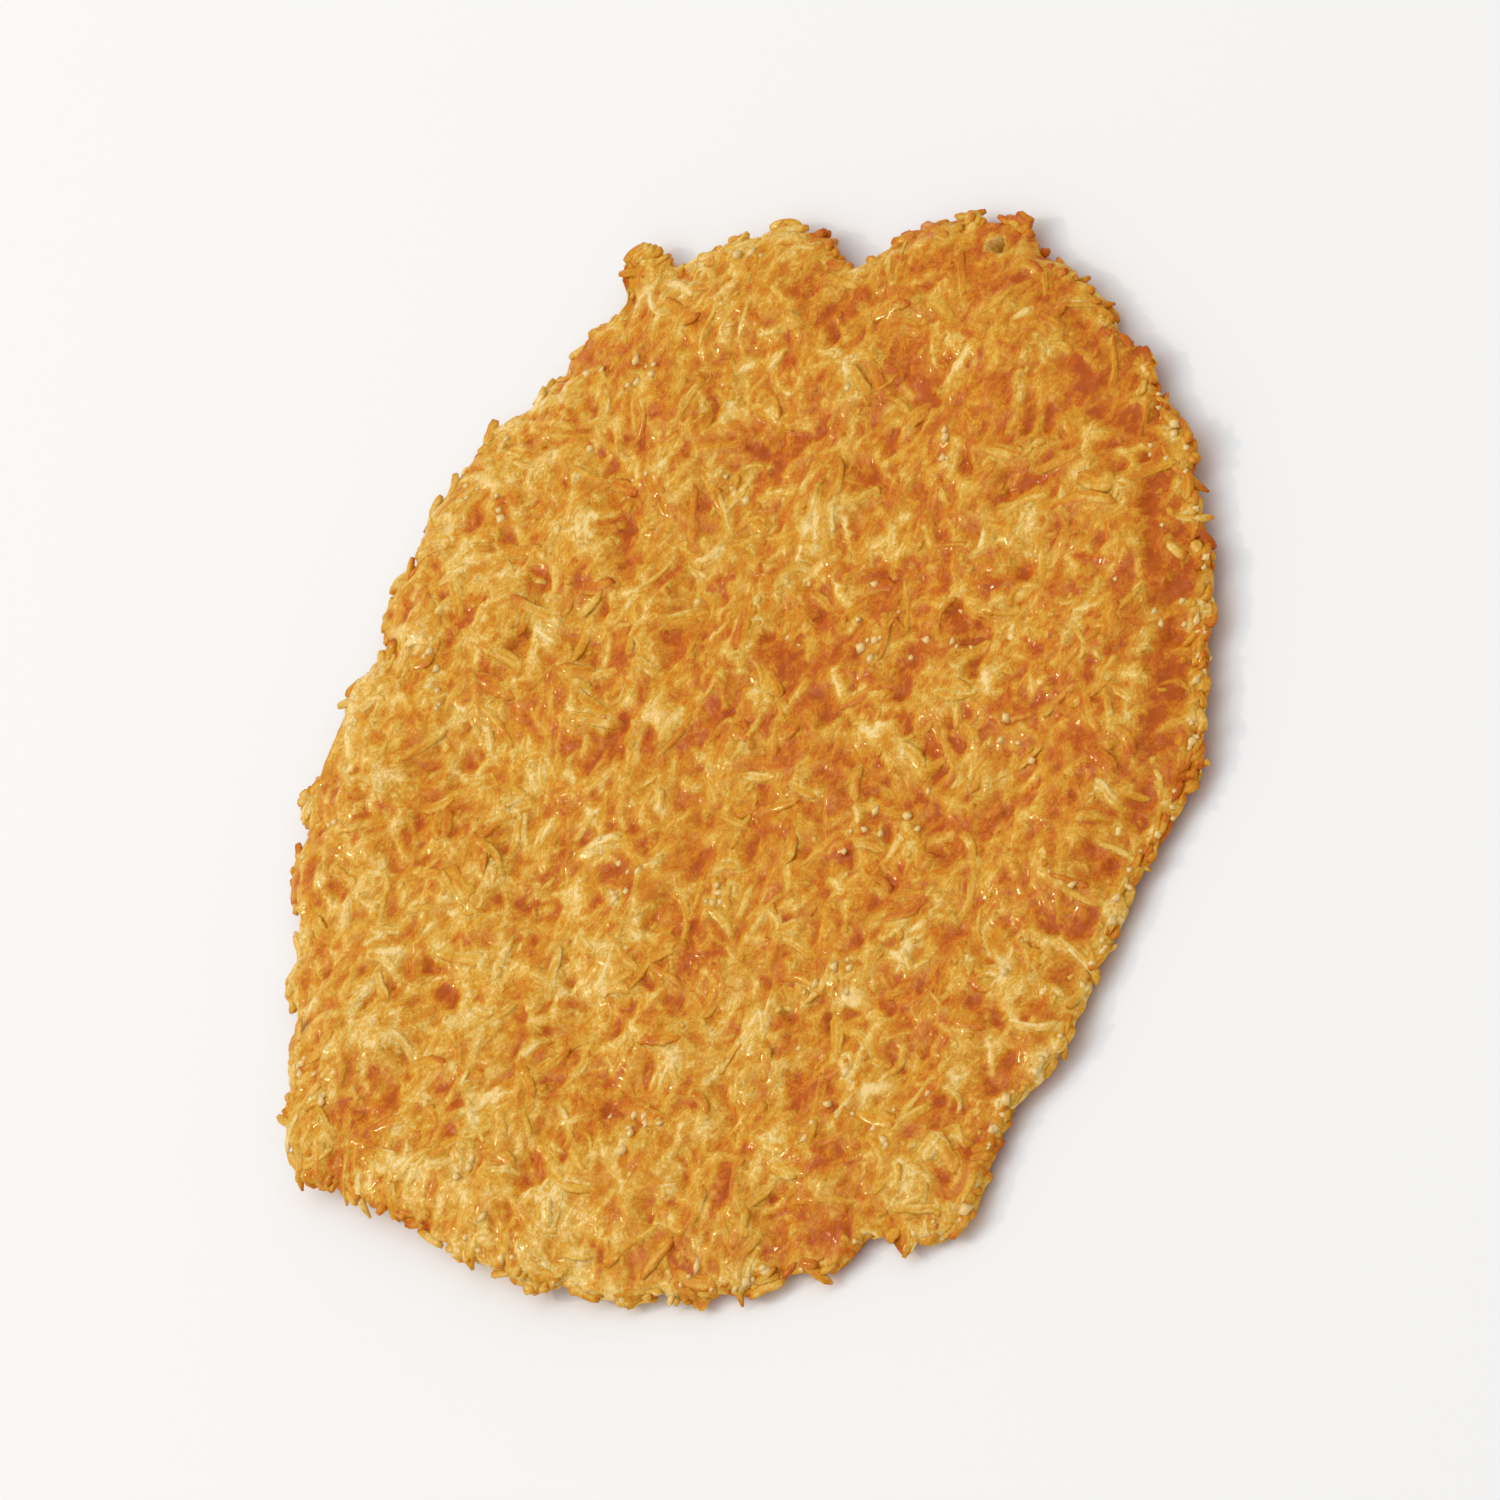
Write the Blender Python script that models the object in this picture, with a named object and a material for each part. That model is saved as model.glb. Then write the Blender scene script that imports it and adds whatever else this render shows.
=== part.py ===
"""Coconut tuile: a thin, crisp round biscuit of baked coconut shreds, lying on its underside.

Metres, +Z up. The origin is on the surface that the biscuit lies on, under the middle of its box.
"""

import math
import random

import bmesh
import bpy
from mathutils import Vector, noise
from mathutils.geometry import delaunay_2d_cdt

MM = 0.001

# Driving dimensions
MEAN_RADIUS = 33.6 * MM
BODY_THICKNESS = 2.0 * MM
RIM_THICKNESS = 1.2 * MM
RIM_TAPER = 5 * MM  # the body thins to the rim over this width
RIM_ROUNDING = 0.35 * MM  # how far the rim's two corners are set in
REST_RADIUS = 16 * MM  # the underside is flat out to here, as it baked on a flat sheet
RIM_LIFT = 1.1 * MM  # how far the wavy rim curls up from the baking sheet at most

# The outline's larger bumps and nicks: direction in degrees, half width in degrees, reach beyond
# the mean radius in millimetres
EDGE_FEATURES = (
    (3, 4.0, 1.2),
    (23, 5.0, -3.4),
    (42, 6.0, 0.6),
    (50, 2.2, 2.3),
    (88, 3.5, -1.2),
    (99, 2.4, -2.4),
    (108, 3.0, -1.6),
    (123, 3.0, 0.8),
    (153, 9.0, 3.6),
    (195, 30.0, -1.4),
    (228, 3.0, 1.0),
    (242, 6.0, 3.4),
    (275, 10.0, -1.4),
    (291, 3.5, 0.9),
    (333, 12.0, -0.5),
)
CRUMB_REACH = 0.8 * MM  # the fine raggedness between them
CRUMB_SIZE = 1.7 * MM

# The rim's waves: waves in one turn, direction of a crest in degrees, share of RIM_LIFT
RIM_WAVES = ((2, 160, 0.5), (3, 35, 0.3), (5, 250, 0.2))

# Crags in the top, as pairs of size across and height
CRAGS = ((8 * MM, 0.6 * MM), (3.6 * MM, 0.65 * MM))
CRAGS_AT_RIM = 0.35  # the share of their height that is left at the rim

# Mesh density
RIM_POINTS = 220
TOP_SPACING = 1.85 * MM
UNDERSIDE_SPACING = 4.5 * MM
EDGE_CLEARANCE = 0.55  # of the spacing, between a sheet's outermost inner point and the rim
GRID_JITTER = 0.15  # of the spacing, so that the triangles aren't all alike
GRID_REACH = 1.2 * MEAN_RADIUS  # past the largest bump
MERGE_DISTANCE = 0.01 * MM
SHARP_ANGLE = 50  # degrees between faces, for shading

# Coconut shreds that stand out of the top and the rim
SHRED_WIDTH = (1.0 * MM, 1.7 * MM)
SHRED_DEPTH = (0.8 * MM, 1.0 * MM)
SHRED_LENGTH = (3.5 * MM, 7.5 * MM)
SHRED_BOW = 0.2  # sideways, as a share of the length
SHRED_PROUD = 0.02 * MM  # how far a shred's middle line is above the top
TOP_SHREDS = 80
TOP_SHRED_REACH = 0.9  # of the edge radius, for a top shred's middle
RIM_SHREDS = 30
RIM_SHRED_LENGTH = (2.8 * MM, 5.0 * MM)
RIM_SHRED_BOW = 0.1
RIM_SHRED_OVERHANG = (0.1 * MM, 1.0 * MM)
RIM_SHRED_SWING = 80  # degrees either way from straight out
RIM_SHRED_STRAY = 0.35  # of the step from one to the next, either way
RIM_SHRED_LEVEL = (0.55, 0.75)  # of the rim's thickness, above the underside
POLE = 1e-6  # a ring smaller than this is a sliver's tip
GOLDEN_ANGLE = math.pi * (3 - math.sqrt(5))
SEED = 11

GOLDEN_BROWN = (0.645, 0.283, 0.047, 1.0)
BAKED_ROUGHNESS = 0.45


def clear_scene():
    for obj in list(bpy.data.objects):
        bpy.data.objects.remove(obj, do_unlink=True)


def smoothstep(low, high, value):
    t = min(1.0, max(0.0, (value - low) / (high - low)))
    return t * t * (3 - 2 * t)


def wrapped_degrees(angle):
    return (angle + 180) % 360 - 180


def edge_radius(angle):
    """Distance from the middle of the biscuit to its ragged edge, in the direction angle."""
    radius = MEAN_RADIUS
    for direction, half_width, reach in EDGE_FEATURES:
        offset = wrapped_degrees(math.degrees(angle) - direction) / half_width
        radius += reach * MM * math.exp(-offset * offset)
    around = Vector((math.cos(angle), math.sin(angle), 0)) * MEAN_RADIUS / CRUMB_SIZE
    return radius + CRUMB_REACH * noise.noise(around)


def underside_height(x, y):
    """Zero in the middle, where the biscuit rests, and rising to the wavy rim."""
    angle = math.atan2(y, x)
    curl = sum(
        share * (0.5 + 0.5 * math.cos(count * (angle - math.radians(crest))))
        for count, crest, share in RIM_WAVES
    )
    return RIM_LIFT * curl * smoothstep(REST_RADIUS, MEAN_RADIUS, math.hypot(x, y))


def top_height(x, y):
    """The craggy top: the body's thickness, thinned towards the rim, above the underside."""
    inset = edge_radius(math.atan2(y, x)) - math.hypot(x, y)
    body = smoothstep(0, RIM_TAPER, inset)
    thickness = RIM_THICKNESS + (BODY_THICKNESS - RIM_THICKNESS) * body
    crags = sum(
        height * noise.noise(Vector((x / size, y / size, layer)))
        for layer, (size, height) in enumerate(CRAGS)
    )
    crags *= CRAGS_AT_RIM + (1 - CRAGS_AT_RIM) * body
    return underside_height(x, y) + thickness + crags


def rim_loop(inset):
    """Points around the edge, set in from it, in the plane."""
    points = []
    for i in range(RIM_POINTS):
        angle = 2 * math.pi * i / RIM_POINTS
        radius = edge_radius(angle) - inset
        points.append(Vector((radius * math.cos(angle), radius * math.sin(angle))))
    return points


def inner_points(spacing, rng):
    """A slightly uneven triangular grid that fills the outline."""
    points = []
    row_height = spacing * math.sqrt(3) / 2
    jitter = GRID_JITTER * spacing
    reach = math.ceil(GRID_REACH / row_height)
    for row in range(-reach, reach + 1):
        for column in range(-reach, reach + 1):
            x = (column + 0.5 * (row % 2)) * spacing + rng.uniform(-jitter, jitter)
            y = row * row_height + rng.uniform(-jitter, jitter)
            inset = edge_radius(math.atan2(y, x)) - math.hypot(x, y)
            if inset > RIM_ROUNDING + EDGE_CLEARANCE * spacing:
                points.append(Vector((x, y)))
    return points


def add_sheet(bm, rim_verts, rim_plane, inner_plane, height):
    """Triangles that span the rim's loop through the inner points, each at its own height."""
    count = len(rim_plane)
    loop = [(i, (i + 1) % count) for i in range(count)]
    inside_only = 1
    points, _, faces, origins, _, _ = delaunay_2d_cdt(
        rim_plane + inner_plane, loop, [], inside_only, MERGE_DISTANCE
    )
    verts = []
    for point, origin in zip(points, origins):
        on_rim = [i for i in origin if i < count]
        if on_rim:
            verts.append(rim_verts[on_rim[0]])
        else:
            verts.append(bm.verts.new((point.x, point.y, height(point.x, point.y))))
    for face in faces:
        bm.faces.new([verts[i] for i in face])


def add_rim_verts(bm, plane, height):
    return [bm.verts.new((p.x, p.y, height(p.x, p.y))) for p in plane]


def join_loops(bm, lower, upper):
    count = len(lower)
    for i in range(count):
        j = (i + 1) % count
        bm.faces.new((lower[i], lower[j], upper[j], upper[i]))


def make_wafer(rng):
    """The thin craggy body: a top sheet, a rounded rim and a nearly flat underside."""
    bm = bmesh.new()
    set_in = rim_loop(RIM_ROUNDING)
    outermost = rim_loop(0)

    def rim_middle(x, y):
        return underside_height(x, y) + RIM_THICKNESS / 2

    upper = add_rim_verts(bm, set_in, top_height)
    middle = add_rim_verts(bm, outermost, rim_middle)
    lower = add_rim_verts(bm, set_in, underside_height)
    join_loops(bm, lower, middle)
    join_loops(bm, middle, upper)
    add_sheet(bm, upper, set_in, inner_points(TOP_SPACING, rng), top_height)
    underside_points = inner_points(UNDERSIDE_SPACING, rng)
    add_sheet(bm, lower, set_in, underside_points, underside_height)
    bmesh.ops.triangulate(bm, faces=bm.faces)
    bmesh.ops.recalc_face_normals(bm, faces=bm.faces)
    return object_from(bm, "tuile")


def object_from(bm, name):
    mesh = bpy.data.meshes.new(name)
    bm.to_mesh(mesh)
    bm.free()
    return bpy.data.objects.new(name, mesh)


def make_shred(name, middle, direction, length, bow, width, depth, spine_height):
    """A blunt, four-sided sliver, bent sideways into an arc, that follows spine_height."""
    bm = bmesh.new()
    bmesh.ops.create_uvsphere(bm, u_segments=4, v_segments=5, radius=1)
    along = Vector((math.cos(direction), math.sin(direction)))
    across = Vector((-along.y, along.x))
    for vert in bm.verts:
        t = vert.co.z
        ring = math.hypot(vert.co.x, vert.co.y)
        spine = middle + along * (t * length / 2) + across * (bow * length * (1 - t * t))
        stoutness = math.sqrt(max(0.0, 1 - t**4)) / ring if ring > POLE else 0.0
        sideways = vert.co.x * stoutness * width / 2
        upwards = vert.co.y * stoutness * depth / 2
        place = spine + across * sideways
        vert.co = (place.x, place.y, spine_height(spine.x, spine.y) + upwards)
    return object_from(bm, name)


def top_shreds(rng):
    """Shreds spread evenly over the top in a sunflower's spiral, each turned at random."""
    shreds = []
    for i in range(TOP_SHREDS):
        angle = i * GOLDEN_ANGLE
        share = math.sqrt((i + 0.5) / TOP_SHREDS) * TOP_SHRED_REACH
        middle = Vector((math.cos(angle), math.sin(angle))) * share * edge_radius(angle)
        shreds.append(
            make_shred(
                f"top_shred_{i:02d}",
                middle,
                rng.uniform(0, math.pi),
                rng.uniform(*SHRED_LENGTH),
                rng.uniform(-SHRED_BOW, SHRED_BOW),
                rng.uniform(*SHRED_WIDTH),
                rng.uniform(*SHRED_DEPTH),
                lambda x, y: top_height(x, y) + SHRED_PROUD,
            )
        )
    return shreds


def rim_shreds(rng):
    """Shreds baked into the rim, each with one end that reaches past the edge."""
    shreds = []
    for i in range(RIM_SHREDS):
        step = i + rng.uniform(-RIM_SHRED_STRAY, RIM_SHRED_STRAY)
        angle = 2 * math.pi * step / RIM_SHREDS
        direction = angle + math.radians(rng.uniform(-RIM_SHRED_SWING, RIM_SHRED_SWING))
        length = rng.uniform(*RIM_SHRED_LENGTH)
        outward = math.cos(direction - angle)
        reach = edge_radius(angle) + rng.uniform(*RIM_SHRED_OVERHANG)
        middle = Vector((math.cos(angle), math.sin(angle))) * (reach - outward * length / 2)
        level = underside_height(*middle) + RIM_THICKNESS * rng.uniform(*RIM_SHRED_LEVEL)
        shreds.append(
            make_shred(
                f"rim_shred_{i:02d}",
                middle,
                direction,
                length,
                rng.uniform(-RIM_SHRED_BOW, RIM_SHRED_BOW),
                rng.uniform(*SHRED_WIDTH),
                rng.uniform(*SHRED_DEPTH),
                lambda x, y, level=level: level,
            )
        )
    return shreds


def fuse(body, pieces):
    """Joins the pieces to the body as one closed solid."""
    holder = bpy.data.collections.new("shreds")
    bpy.context.scene.collection.children.link(holder)
    for piece in pieces:
        holder.objects.link(piece)
    union = body.modifiers.new("fuse_shreds", "BOOLEAN")
    union.operation = "UNION"
    union.operand_type = "COLLECTION"
    union.collection = holder
    union.solver = "MANIFOLD"
    bpy.context.view_layer.update()
    evaluated = body.evaluated_get(bpy.context.evaluated_depsgraph_get())
    fused = bpy.data.meshes.new_from_object(evaluated)
    body.modifiers.clear()
    body.data = fused
    for piece in pieces:
        bpy.data.objects.remove(piece, do_unlink=True)
    bpy.data.collections.remove(holder)


def centre_on_origin(obj):
    """Puts the middle of the box over the origin, and the lowest point at height zero."""
    xs, ys, zs = zip(*(v.co for v in obj.data.vertices))
    middle = Vector(((min(xs) + max(xs)) / 2, (min(ys) + max(ys)) / 2, min(zs)))
    for vert in obj.data.vertices:
        vert.co -= middle


def baked_coconut():
    material = bpy.data.materials.new("baked_coconut")
    material.use_nodes = True
    shader = material.node_tree.nodes["Principled BSDF"]
    shader.inputs["Base Color"].default_value = GOLDEN_BROWN
    shader.inputs["Roughness"].default_value = BAKED_ROUGHNESS
    shader.inputs["Metallic"].default_value = 0.0
    material.diffuse_color = GOLDEN_BROWN
    return material


def main():
    clear_scene()
    rng = random.Random(SEED)
    collection = bpy.data.collections.new("coconut_tuile")
    bpy.context.scene.collection.children.link(collection)
    tuile = make_wafer(rng)
    collection.objects.link(tuile)
    fuse(tuile, top_shreds(rng) + rim_shreds(rng))
    centre_on_origin(tuile)
    tuile.data.materials.clear()
    tuile.data.materials.append(baked_coconut())
    tuile.data.shade_smooth()
    tuile.data.set_sharp_from_angle(angle=math.radians(SHARP_ANGLE))


main()
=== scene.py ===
# %% [markdown]
# # A coconut tuile
#
# A coconut tuile is a thin, crisp biscuit. Grated coconut, sugar, egg white and a little butter are
# pressed flat on a baking sheet and baked until the sugar turns to caramel. What comes out is a mat
# of golden shreds, two or three deep, glued together by amber caramel.
#
# This lesson builds it in the order of the recipe. Shreds are pressed on a map of the solid model,
# the sugar is melted over them, and the map becomes one closed crust with a pinhole near its rim.
# The shreds that show best, the ragged rim and the sugar crystals are meshes of their own. The
# solid model gives every size and place, and each piece below is fitted to it.

# %% Load the solid model
import math

import bmesh
import bpy
import numpy as np
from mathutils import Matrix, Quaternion, Vector, noise
from mathutils.bvhtree import BVHTree


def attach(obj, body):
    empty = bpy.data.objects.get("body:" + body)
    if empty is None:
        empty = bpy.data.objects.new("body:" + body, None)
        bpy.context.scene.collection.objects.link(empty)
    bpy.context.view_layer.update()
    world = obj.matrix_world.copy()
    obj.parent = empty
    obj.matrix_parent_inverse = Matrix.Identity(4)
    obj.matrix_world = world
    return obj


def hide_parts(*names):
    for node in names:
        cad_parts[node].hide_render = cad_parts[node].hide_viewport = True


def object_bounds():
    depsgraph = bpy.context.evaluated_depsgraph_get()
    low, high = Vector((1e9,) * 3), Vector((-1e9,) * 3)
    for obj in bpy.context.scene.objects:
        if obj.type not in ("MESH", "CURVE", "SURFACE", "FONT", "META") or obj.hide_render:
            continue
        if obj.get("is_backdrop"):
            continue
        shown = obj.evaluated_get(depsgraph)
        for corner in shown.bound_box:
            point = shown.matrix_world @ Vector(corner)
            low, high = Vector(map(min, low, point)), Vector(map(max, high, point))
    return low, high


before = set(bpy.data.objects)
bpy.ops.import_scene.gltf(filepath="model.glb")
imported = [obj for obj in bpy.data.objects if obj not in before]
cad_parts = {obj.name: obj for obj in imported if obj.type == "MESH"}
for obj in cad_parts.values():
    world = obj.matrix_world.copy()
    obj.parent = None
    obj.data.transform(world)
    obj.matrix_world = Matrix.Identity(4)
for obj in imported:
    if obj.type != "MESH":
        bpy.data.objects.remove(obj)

MM = 0.001
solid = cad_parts["tuile"]
cad_low, cad_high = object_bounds()
middle = (cad_low + cad_high) / 2
print("solid biscuit, mm:", [round(side / MM, 1) for side in cad_high - cad_low])

# %% [markdown]
# ## Camera
#
# The biscuit is looked down on at 44 degrees, from the side that lies nearest. A long lens from
# about a metre and a half keeps the round edge an even ellipse. The camera is rolled, so that the
# ellipse lies aslant in the picture, with its long side from lower left to upper right.

# %% Camera
CAMERA_DISTANCE = 1.56
CAMERA_ELEVATION = math.radians(44)
PICTURE_SLANT = math.radians(61.2)
PICTURE_SIDE = 1500
PIXELS_PER_MM = 17.5
SENSOR_MM = 36

seen_width = PICTURE_SIDE / PIXELS_PER_MM * MM
towards_camera = Vector((0, -math.cos(CAMERA_ELEVATION), math.sin(CAMERA_ELEVATION)))
camera = bpy.data.objects.new("camera", bpy.data.cameras.new("camera"))
camera.data.sensor_width = SENSOR_MM
camera.data.lens = SENSOR_MM * CAMERA_DISTANCE / seen_width
camera.data.clip_start = 0.01
camera.location = middle + towards_camera * CAMERA_DISTANCE
camera.rotation_mode = "QUATERNION"
roll = Quaternion((0, 0, 1), -PICTURE_SLANT)
camera.rotation_quaternion = (-towards_camera).to_track_quat("-Z", "Y") @ roll
bpy.context.scene.collection.objects.link(camera)
bpy.context.scene.camera = camera
print("lens, mm:", round(camera.data.lens))

# %% [markdown]
# ## Colours and nodes
#
# Colours are written as sRGB hex values, as a colour picker shows them, and turned into the linear
# values that a shader works with. One small function adds a node, sets its settings and fills or
# links its sockets, so that each material below reads as a list of nodes.


# %% Colour and node helpers
def linear(hex_colour):
    """An sRGB hex colour as linear red, green, blue and alpha."""
    channels = [int(hex_colour[i : i + 2], 16) / 255 for i in (1, 3, 5)]
    return [c / 12.92 if c <= 0.04045 else ((c + 0.055) / 1.055) ** 2.4 for c in channels] + [1.0]


def add(tree, kind, sockets=None, stops=(), **settings):
    """Adds one node. A socket is given a value or another node's output, and a ramp its stops."""
    node = tree.nodes.new("ShaderNode" + kind)
    for name, value in settings.items():
        setattr(node, name, value)
    for name, value in (sockets or {}).items():
        if isinstance(value, bpy.types.NodeSocket):
            tree.links.new(value, node.inputs[name])
        else:
            node.inputs[name].default_value = value
    if stops:
        elements = node.color_ramp.elements
        while len(elements) < len(stops):
            elements.new(0.5)
        for element, (position, hex_colour) in zip(elements, stops):
            element.position = position
            element.color = linear(hex_colour)
    return node


def new_material(name):
    """An empty node tree with its output, and the tree."""
    material = bpy.data.materials.new(name)
    material.use_nodes = True
    tree = material.node_tree
    tree.nodes.clear()
    return material, tree


print("a middle grey in linear light:", round(linear("#808080")[0], 3))

# %% [markdown]
# ## Floor
#
# The biscuit lies on a sheet of matt white board. A box or a curved backdrop would do as well, but
# a flat disc, metres wide, is simpler, and its edge never comes into the picture. Its white is a
# little cool, to balance the warm lamp that comes next.

# %% Floor
FLOOR_RADIUS = 4.0
FLOOR_SIDES = 96
FLOOR_HEX = "#F1F2F4"

floor_material, tree = new_material("matt_white_board")
board = add(tree, "BsdfPrincipled", {"Base Color": linear(FLOOR_HEX), "Roughness": 0.8})
add(tree, "OutputMaterial", {"Surface": board.outputs["BSDF"]})

disc = bmesh.new()
bmesh.ops.create_circle(disc, cap_ends=True, segments=FLOOR_SIDES, radius=FLOOR_RADIUS)
floor = bpy.data.objects.new("floor", bpy.data.meshes.new("floor"))
disc.to_mesh(floor.data)
disc.free()
floor.location.z = cad_low.z
floor.data.materials.append(floor_material)
bpy.context.scene.collection.objects.link(floor)
floor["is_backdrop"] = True
print("floor, m across:", 2 * FLOOR_RADIUS)

# %% [markdown]
# ## Lamps and world
#
# The light is a studio's. A sun would cut hard shadows, so there are two wide soft boxes overhead
# and behind, which model the shreds with soft shadows on their near sides. Wide lamps alone leave
# the glaze dull, though. A small warm lamp wakes the glints in it, and does little else. The white
# world fills the shadows.


# %% Soft box helper
def soft_box(name, direction, height, distance, side, watts, hex_colour="#FFFFFF"):
    """A square lamp that looks at the biscuit, from a compass direction and a height in degrees."""
    lamp = bpy.data.lights.new(name, "AREA")
    lamp.shape = "SQUARE"
    lamp.size = side
    lamp.energy = watts
    lamp.color = linear(hex_colour)[:3]
    holder = bpy.data.objects.new(name, lamp)
    turn, lift = math.radians(direction), math.radians(height)
    away = Vector((math.cos(turn) * math.cos(lift), math.sin(turn) * math.cos(lift), math.sin(lift)))
    holder.location = middle + away * distance
    holder.rotation_mode = "QUATERNION"
    holder.rotation_quaternion = away.to_track_quat("Z", "Y")
    bpy.context.scene.collection.objects.link(holder)


# %% Lamps and world
WORLD_STRENGTH = 0.72

soft_box("key", direction=125, height=55, distance=0.9, side=0.5, watts=1.6)
soft_box("overhead", direction=40, height=75, distance=1.2, side=0.9, watts=1.6)
soft_box("glint", direction=115, height=40, distance=0.8, side=0.03, watts=0.9, hex_colour="#FFE3B0")

world = bpy.data.worlds.new("studio")
world.use_nodes = True
world.node_tree.nodes["Background"].inputs["Color"].default_value = linear("#FFFFFF")
world.node_tree.nodes["Background"].inputs["Strength"].default_value = WORLD_STRENGTH
bpy.context.scene.world = world
bpy.context.scene.view_settings.view_transform = "Standard"

# %% [markdown]
# ## A map of the biscuit
#
# Every shred has to lie on the biscuit, so the script needs the biscuit's height at any spot. It
# could ask the solid for each shred, but there are thousands. Rays dropped straight down on the
# solid, and others sent up from below, give two height maps with a fine cell, once and for all. A
# spot where no ray hits is off the biscuit.

# %% Height maps
CELL = 0.12 * MM
MARGIN = 3 * MM

columns = np.arange(cad_low.x - MARGIN, cad_high.x + MARGIN, CELL)
rows = np.arange(cad_low.y - MARGIN, cad_high.y + MARGIN, CELL)
solid_tree = BVHTree.FromPolygons(
    [v.co for v in solid.data.vertices], [tuple(p.vertices) for p in solid.data.polygons]
)


def height_map(start, down):
    """The solid's height in each cell, met by a ray from the height start. Off it, nan."""
    heights = np.full((len(rows), len(columns)), np.nan)
    for i, y in enumerate(rows):
        for j, x in enumerate(columns):
            hit = solid_tree.ray_cast((x, y, start), (0, 0, down))[0]
            if hit:
                heights[i, j] = hit.z
    return heights


top_map = height_map(cad_high.z + MM, -1)
underside_map = height_map(cad_low.z - MM, 1)
on_biscuit = ~np.isnan(top_map)
print("map cells:", top_map.shape, "covered, mm2:", round(on_biscuit.sum() * (CELL / MM) ** 2))

# %% [markdown]
# ## Reading a map
#
# Places on the biscuit are in metres, and a map has rows and columns. Where a small jump does no
# harm, the nearest cell is read. Where a mesh has to stay smooth, the value is blended from the
# four nearest cells.


# %% Map readers
def cells(x, y):
    """The map's row and column numbers for places in metres."""
    column = np.clip(((x - columns[0]) / CELL + 0.5).astype(int), 0, len(columns) - 1)
    row = np.clip(((y - rows[0]) / CELL + 0.5).astype(int), 0, len(rows) - 1)
    return row, column


def read_map(values, x, y):
    """A map's value at places in metres, blended between the four nearest cells."""
    across = (x - columns[0]) / CELL
    along = (y - rows[0]) / CELL
    j = np.clip(across.astype(int), 0, len(columns) - 2)
    i = np.clip(along.astype(int), 0, len(rows) - 2)
    u, v = across - j, along - i
    near = values[i, j] * (1 - u) + values[i, j + 1] * u
    far = values[i + 1, j] * (1 - u) + values[i + 1, j + 1] * u
    return near * (1 - v) + far * v


# %% [markdown]
# ## Filling and softening a map
#
# Shreds overhang the edge a little, where the rays found nothing, so a band round the edge is
# filled with the mean of its neighbours. Softening blends each cell into its neighbours. It stands
# in for all that melts and slumps in the oven, and costs less than a simulation.

# %% Filled maps
FILLED_CELLS = 20


def grown_outwards(heights, cells_wide):
    """Fills a band round the map's edge with its neighbours' mean, for what overhangs the edge."""
    filled = heights.copy()
    for _ in range(cells_wide):
        around = [np.roll(filled, shift, axis) for shift in (-1, 1) for axis in (0, 1)]
        known = [~np.isnan(a) for a in around]
        total = sum(np.where(k, a, 0) for k, a in zip(known, around))
        count = sum(k.astype(int) for k in known)
        new = np.isnan(filled) & (count > 0)
        filled[new] = total[new] / count[new]
    return np.where(np.isnan(filled), np.nanmean(heights), filled)


def softened(values, passes):
    """The map with each cell blended into its neighbours."""
    for _ in range(passes):
        for axis in (0, 1):
            values = 0.5 * values + 0.25 * (np.roll(values, 1, axis) + np.roll(values, -1, axis))
    return values


top_map = grown_outwards(top_map, FILLED_CELLS)
underside_map = grown_outwards(underside_map, FILLED_CELLS)
print("mean height of the top, mm:", round(top_map[on_biscuit].mean() / MM, 2))

# %% [markdown]
# ## The edge
#
# How far the biscuit reaches in each direction is read from the map, nicks and bumps included.
# Rings of points will run round the biscuit later. The outer ones follow this line, and the inner
# ones a very even line, as nothing is nicked there.

# %% Edge
DIRECTIONS = 1440
REACH = (20 * MM, 42 * MM)
REACH_STEP = 0.04 * MM
EDGE_PASSES = 4
INNER_PASSES = 4000

compass = np.linspace(-math.pi, math.pi, DIRECTIONS + 1)
reach = np.arange(*REACH, REACH_STEP)
covered = on_biscuit[cells(np.outer(np.cos(compass), reach), np.outer(np.sin(compass), reach))]
edge_radii = np.array([reach[line].max() for line in covered])


def smoothed_round(radii, steps):
    """The edge's radii with each blended into its neighbours, round the whole circle."""
    ring = radii[:-1]
    for _ in range(steps):
        ring = 0.5 * ring + 0.25 * (np.roll(ring, 1) + np.roll(ring, -1))
    return np.append(ring, ring[0])


edge_radii = smoothed_round(edge_radii, EDGE_PASSES)
inner_radii = smoothed_round(edge_radii, INNER_PASSES)


def edge_radius(x, y):
    """How far the biscuit reaches in the direction of each place."""
    return np.interp(np.arctan2(y, x), compass, edge_radii)


print("edge radius, mm:", round(edge_radii.min() / MM, 1), "to", round(edge_radii.max() / MM, 1))

# %% [markdown]
# ## Meshes from arrays
#
# There are thousands of shreds. One object for each, or bmesh with its one call for each face, would
# take minutes. Their points are worked out in NumPy instead, and one call turns all of a kind into
# one mesh. Each mesh also carries a few numbers on its points, which the materials read: how toasted
# the shred is, how near its tip a point is, and a place along and across the fibres.


# %% Mesh helper
def make_piece(name, points, faces, numbers, material):
    """One mesh object from points, lists of equal-sided faces, and named numbers on the points."""
    corners = np.concatenate([f.ravel() for f in faces]).astype(np.int32)
    sides = np.concatenate([np.full(len(f), f.shape[1]) for f in faces])
    starts = np.concatenate(([0], np.cumsum(sides)[:-1])).astype(np.int32)
    mesh = bpy.data.meshes.new(name)
    mesh.vertices.add(len(points))
    mesh.vertices.foreach_set("co", points.astype(np.float32).ravel())
    mesh.loops.add(len(corners))
    mesh.loops.foreach_set("vertex_index", corners)
    mesh.polygons.add(len(sides))
    mesh.polygons.foreach_set("loop_start", starts)
    mesh.update(calc_edges=True)
    mesh.shade_smooth()
    attach_numbers(mesh, numbers)
    mesh.materials.append(material)
    piece = bpy.data.objects.new(name, mesh)
    bpy.context.scene.collection.objects.link(piece)
    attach(piece, "root")
    print(name, "triangles:", int((sides - 2).sum()))
    return piece


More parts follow.
